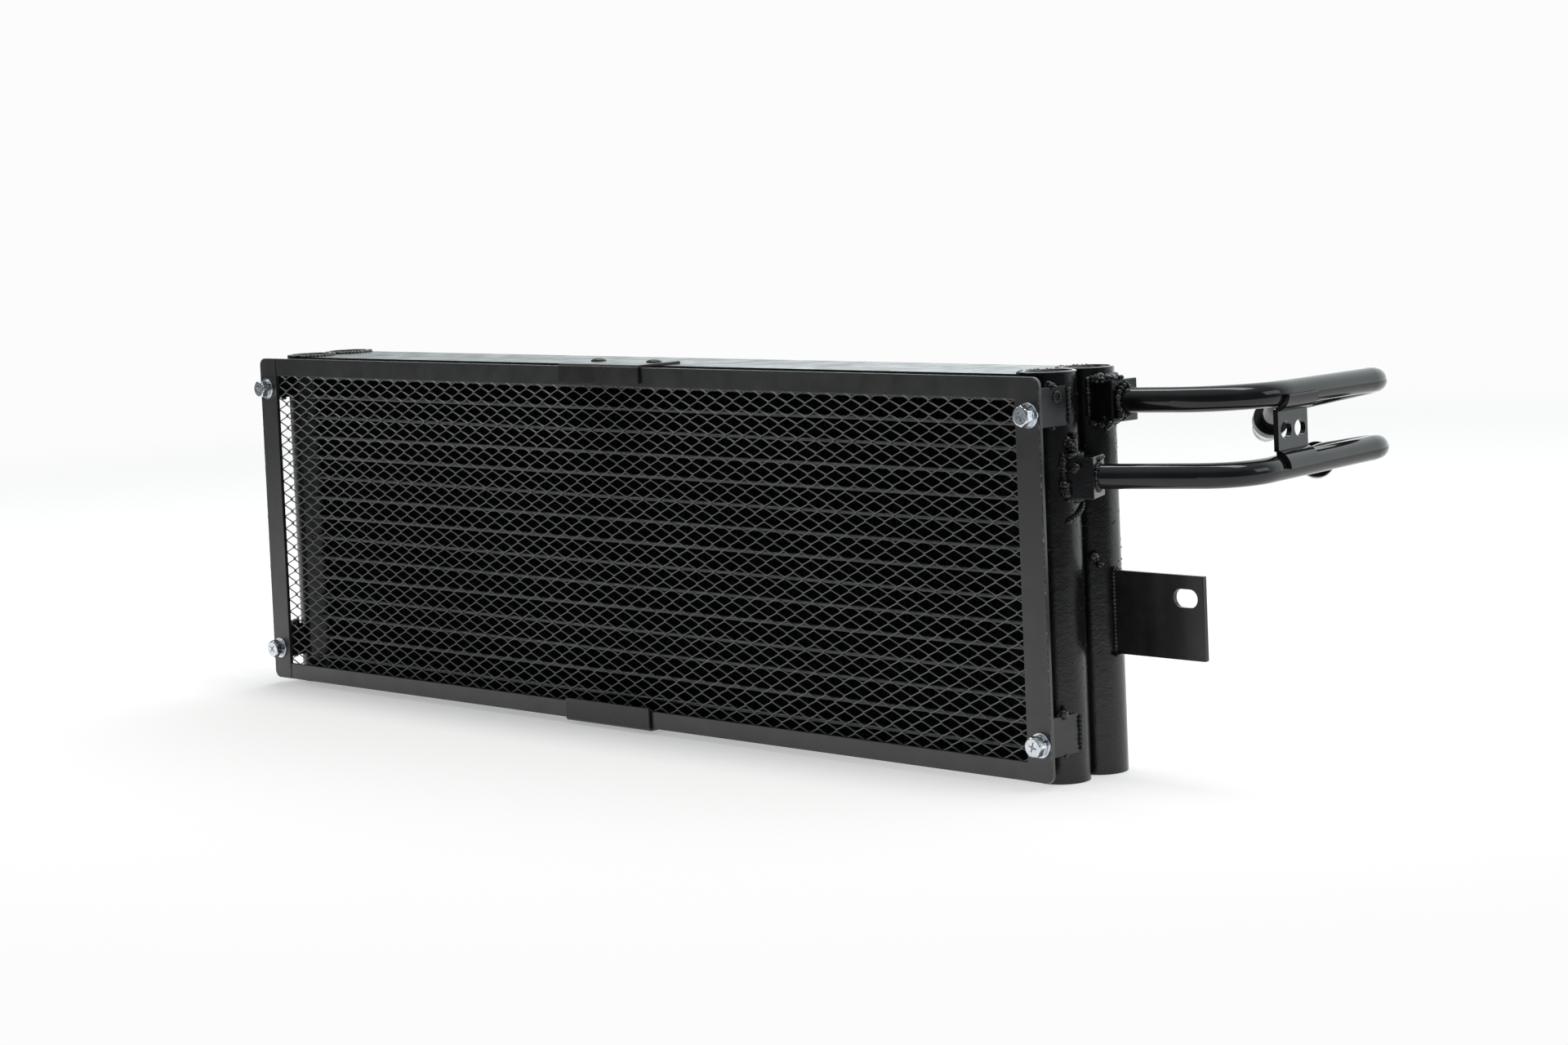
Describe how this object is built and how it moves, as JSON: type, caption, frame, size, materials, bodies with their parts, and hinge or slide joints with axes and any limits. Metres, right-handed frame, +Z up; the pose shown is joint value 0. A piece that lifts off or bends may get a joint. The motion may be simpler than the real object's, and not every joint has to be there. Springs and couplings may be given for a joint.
{
  "type": "hydraulic oil cooler",
  "caption": "Flat-tube hydraulic oil cooler with round headers, a bolted diamond-mesh guard, bent oil pipes and a slotted mounting tab.",
  "frame": {"origin": "centre of the whole cooler's box, on the surface that the headers stand on", "axes": "+X along the core to the pipe end, +Y from the guard to the back, +Z up the headers"},
  "size_m": [0.97, 0.3096, 0.2787],
  "materials": {
    "header_paint": "gloss black paint with orange peel",
    "tube_paint": "thin black paint",
    "fin_paint": "matt black paint",
    "plate_paint": "gloss black paint",
    "guard_paint": "satin black paint",
    "mesh_paint": "satin black paint",
    "bracket_paint": "gloss black paint",
    "clip_paint": "satin black paint",
    "pipe_paint": "high gloss black paint",
    "zinc": "bright zinc plating",
    "bare_steel": "turned steel with a painted shoulder",
    "bare_aluminium": "bare strip"
  },
  "bodies": {
    "root": {"header_front_left": "header_paint", "header_rear_left": "header_paint", "header_front_right": "header_paint", "header_rear_right": "header_paint", "header_top_caps": "header_paint", "header_bottom_caps": "header_paint", "crossover_bushes": "header_paint", "front_core_tubes": "tube_paint", "rear_core_tubes": "tube_paint", "front_turbulators": "bare_aluminium", "rear_turbulators": "bare_aluminium", "front_fins": "fin_paint", "rear_fins": "fin_paint", "top_side_plate": "plate_paint", "bottom_side_plate": "plate_paint", "guard_top_bar": "guard_paint", "guard_bottom_bar": "guard_paint", "guard_left_bar": "guard_paint", "guard_right_bar": "guard_paint", "guard_mesh": "mesh_paint", "guard_bracket_top_left": "bracket_paint", "guard_bracket_bottom_left": "bracket_paint", "guard_bracket_top_right": "bracket_paint", "guard_bracket_bottom_right": "bracket_paint", "guard_bolts": "zinc", "spring_washers": "zinc", "flat_washers": "zinc", "top_clip": "clip_paint", "bottom_clip": "clip_paint", "top_clip_rivets": "clip_paint", "bottom_clip_rivets": "clip_paint", "inlet_boss_block": "header_paint", "outlet_boss_block": "header_paint", "inlet_pipe": "pipe_paint", "outlet_pipe": "pipe_paint", "inlet_end_fitting": "bare_steel", "outlet_end_fitting": "bare_steel", "pipe_tie_bracket": "pipe_paint", "mounting_tab": "bracket_paint"}
  },
  "joints": []
}
